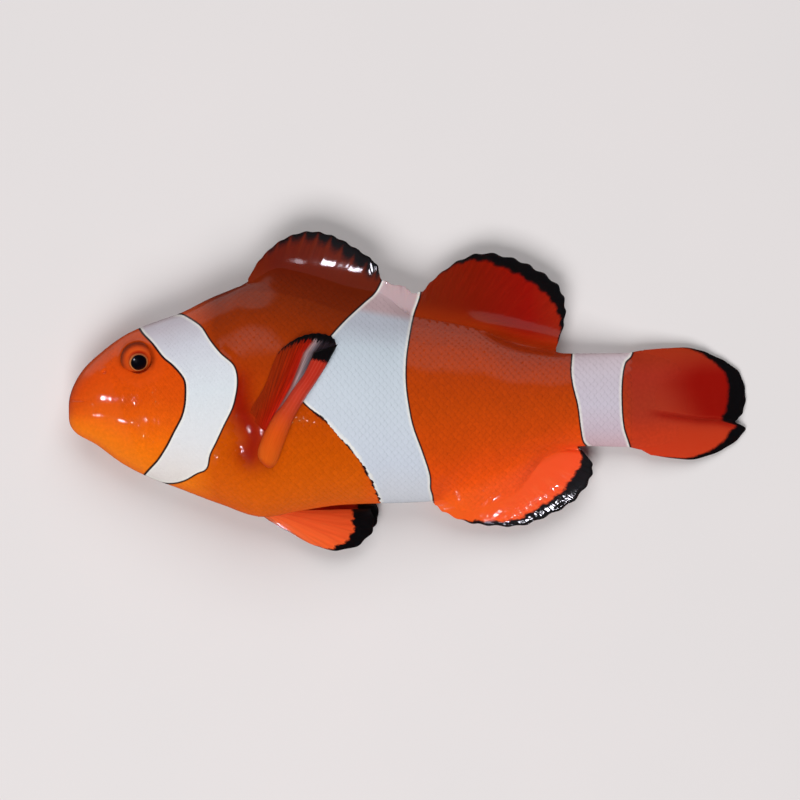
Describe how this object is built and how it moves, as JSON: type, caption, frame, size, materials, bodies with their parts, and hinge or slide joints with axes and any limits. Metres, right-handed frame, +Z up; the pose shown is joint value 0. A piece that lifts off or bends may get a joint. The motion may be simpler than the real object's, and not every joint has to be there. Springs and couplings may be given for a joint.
{
  "type": "clownfish model",
  "caption": "Life-size still model of a clownfish lying on its right side, fins spread, orange with white bars and black-edged fins.",
  "frame": {"origin": "on the floor, under the middle of the fish's length and of its depth from back to belly", "axes": "+X from the snout to the tail, +Y from the belly to the back, +Z up from the floor through the left flank"},
  "size_m": [0.0818, 0.0385, 0.0145],
  "materials": {
    "skin_orange": "wet, glossy fish skin with fine scales, orange with white bars",
    "fin_dark_red": "wet, thin fin web over rays, dark red with a black margin",
    "fin_orange": "wet, thin fin web over rays, bright orange with a black margin",
    "eye": "clear wet cornea over an orange iris and a black pupil"
  },
  "bodies": {
    "root": {"head": "skin_orange", "lower_jaw": "skin_orange", "gill_cover_left": "skin_orange", "gill_cover_right": "skin_orange", "eye_left": "eye", "eye_right": "eye", "trunk": "skin_orange", "tail_stalk": "skin_orange", "dorsal_fin_spiny": "fin_dark_red", "dorsal_fin_soft": "fin_dark_red", "anal_fin": "fin_orange", "caudal_fin": "fin_dark_red", "pectoral_fin_left": "fin_dark_red", "pectoral_fin_right": "fin_dark_red", "pelvic_fin_left": "fin_orange", "pelvic_fin_right": "fin_orange"}
  },
  "joints": []
}
